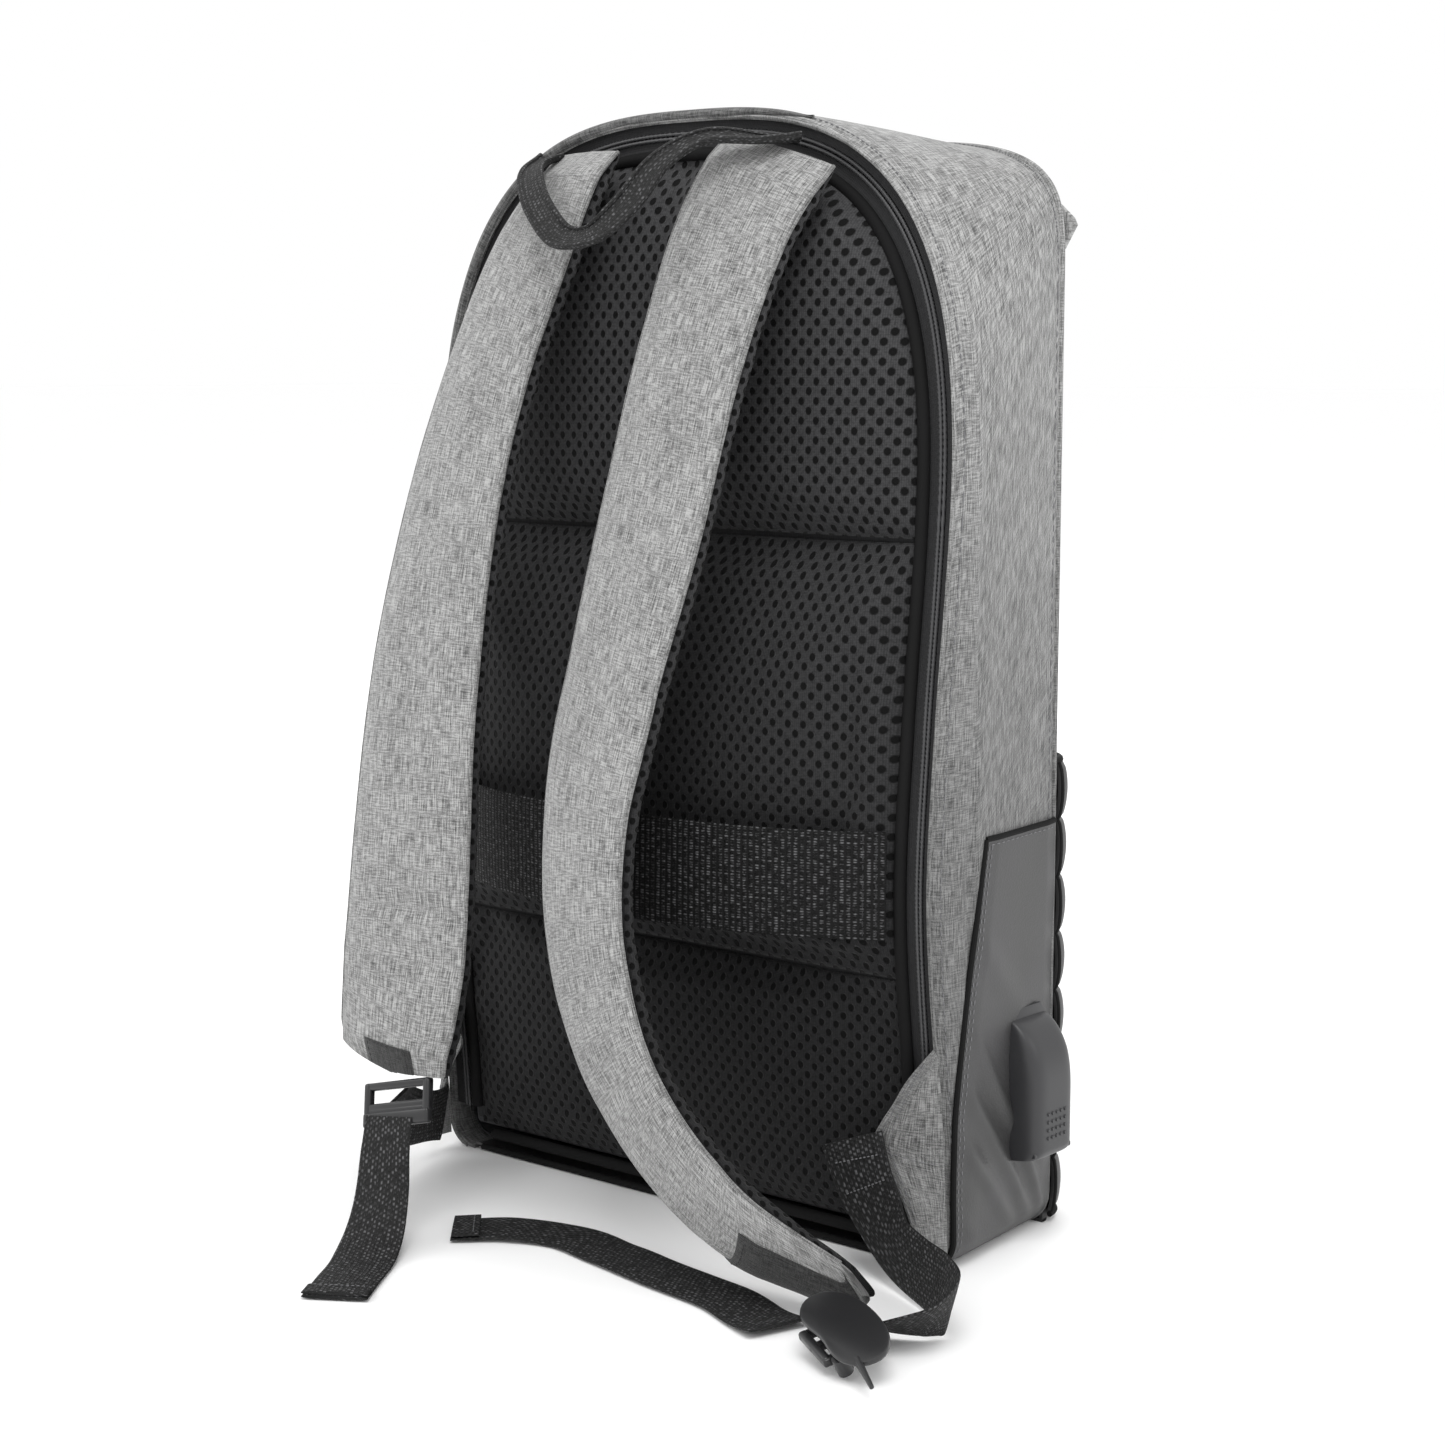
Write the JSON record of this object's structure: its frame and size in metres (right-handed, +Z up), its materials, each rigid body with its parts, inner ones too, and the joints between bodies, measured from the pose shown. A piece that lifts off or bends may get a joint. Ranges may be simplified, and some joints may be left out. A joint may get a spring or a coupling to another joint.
{
  "type": "solar backpack",
  "caption": "Slim laptop backpack that zips open at its harness side, with a solar flap in front, quilted pocket, side charging port, padded straps and haul loop.",
  "frame": {"origin": "centre of the flat base, on the surface that the bag stands on", "axes": "+X the right side seen from the front, +Y towards the harness side, +Z up"},
  "size_m": [0.3344, 0.2891, 0.4717],
  "materials": {
    "melange_fabric": "two-tone grey melange woven polyester, matt, with vertical slubs",
    "heather_trim": "dark heather woven edge band, matt",
    "spacer_mesh": "black knitted spacer mesh with rows of oval holes",
    "webbing": "black ribbed polypropylene webbing",
    "coated_fabric": "dark grey satin coated fabric with soft creases",
    "lining": "dark plain-weave lining",
    "eva_board": "dark grey foamed stiffener board",
    "zip_coil": "black nylon coil and woven tape",
    "moulded_plastic": "dark grey fine-textured moulding",
    "buckle_plastic": "dark grey glossy acetal moulding",
    "zinc": "gunmetal die-cast zinc",
    "port_steel": "bright nickel-plated steel",
    "solar_cell": "near-black blue monocrystalline silicon with fine silver fingers",
    "solar_cover": "clear textured laminate over the cells",
    "panel_board": "black glass-fibre backing board",
    "touch_fastener": "black hook-and-loop tape"
  },
  "bodies": {
    "bag": {"main_shell": "melange_fabric", "main_lining": "lining", "rim_band": "heather_trim", "side_panel_left": "coated_fabric", "side_panel_right": "coated_fabric", "zip_tape_outer": "zip_coil", "zip_coil_outer": "zip_coil", "front_pocket": "coated_fabric", "front_quilt": "coated_fabric", "loop_patch_left": "touch_fastener", "loop_patch_right": "touch_fastener", "base_board": "eva_board", "laptop_sleeve": "lining", "organiser_pocket": "lining", "power_bank_pocket": "lining", "usb_housing": "moulded_plastic", "usb_socket_shell": "port_steel", "usb_tongue": "moulded_plastic", "usb_backing_plate": "moulded_plastic", "usb_lead": "moulded_plastic", "usb_plug": "moulded_plastic", "charge_regulator": "moulded_plastic", "charge_lead": "moulded_plastic", "charge_plug": "moulded_plastic"},
    "back_panel": {"back_board": "eva_board", "back_piping": "coated_fabric", "zip_tape_inner": "zip_coil", "zip_coil_inner": "zip_coil", "back_pad_lower": "spacer_mesh", "back_pad_middle": "spacer_mesh", "back_pad_upper": "spacer_mesh", "luggage_strap": "webbing", "wing_left": "melange_fabric", "wing_right": "melange_fabric", "wing_webbing_left": "webbing", "wing_webbing_right": "webbing"},
    "flap": {"solar_flap": "melange_fabric", "solar_board": "panel_board", "solar_cover": "solar_cover", "hook_patch_left": "touch_fastener", "hook_patch_right": "touch_fastener", "solar_cell_1": "solar_cell", "solar_cell_2": "solar_cell", "solar_cell_3": "solar_cell", "solar_cell_4": "solar_cell", "solar_cell_5": "solar_cell", "solar_cell_6": "solar_cell"},
    "left_strap": {"strap_pad_left": "melange_fabric", "strap_mesh_left": "spacer_mesh", "ladder_lock_left": "buckle_plastic", "webbing_tail_left": "webbing"},
    "right_strap": {"strap_pad_right": "melange_fabric", "strap_mesh_right": "spacer_mesh", "ladder_lock_right": "buckle_plastic", "webbing_tail_right": "webbing"},
    "haul_handle": {"haul_loop": "webbing"},
    "slider_upper": {"zip_slider_upper": "zinc"},
    "slider_lower": {"zip_slider_lower": "zinc"},
    "pull_upper": {"zip_pull_upper": "zinc"},
    "pull_lower": {"zip_pull_lower": "zinc"}
  },
  "joints": [
    {"name": "back_panel_hinge", "type": "hinge", "parent": "bag", "child": "back_panel", "pos_m": [0, 0.04, 0.008], "axis": [-1, 0, 0], "range_deg": [0, 40]},
    {"name": "solar_flap_hinge", "type": "hinge", "parent": "bag", "child": "flap", "pos_m": [0, -0.042, 0.441], "axis": [-1, 0, 0], "range_deg": [0, 100]},
    {"name": "left_strap_swing", "type": "hinge", "parent": "back_panel", "child": "left_strap", "pos_m": [-0.052, 0.046, 0.45], "axis": [1, 0, 0], "range_deg": [0, 12], "deforming": ["webbing_tail_left"]},
    {"name": "right_strap_swing", "type": "hinge", "parent": "back_panel", "child": "right_strap", "pos_m": [0.047, 0.048, 0.45], "axis": [1, 0, 0], "range_deg": [0, 12], "deforming": ["webbing_tail_right"]},
    {"name": "haul_loop_swing", "type": "hinge", "parent": "back_panel", "child": "haul_handle", "pos_m": [0, 0.041, 0.457], "axis": [1, 0, 0], "range_deg": [0, 100]},
    {"name": "upper_slider_travel", "type": "slide", "parent": "bag", "child": "slider_upper", "axis": [0, -0.0934, 0.9956], "range_m": [0, 0.05]},
    {"name": "lower_slider_travel", "type": "slide", "parent": "bag", "child": "slider_lower", "axis": [0, 0.0676, -0.9977], "range_m": [0, 0.06]},
    {"name": "upper_pull_hinge", "type": "hinge", "parent": "slider_upper", "child": "pull_upper", "pos_m": [0.1371, 0.05116, 0.258], "axis": [1, 0, 0], "range_deg": [0, 120]},
    {"name": "lower_pull_hinge", "type": "hinge", "parent": "slider_lower", "child": "pull_lower", "pos_m": [0.1371, 0.055, 0.22], "axis": [1, 0, 0], "range_deg": [0, 120]}
  ]
}
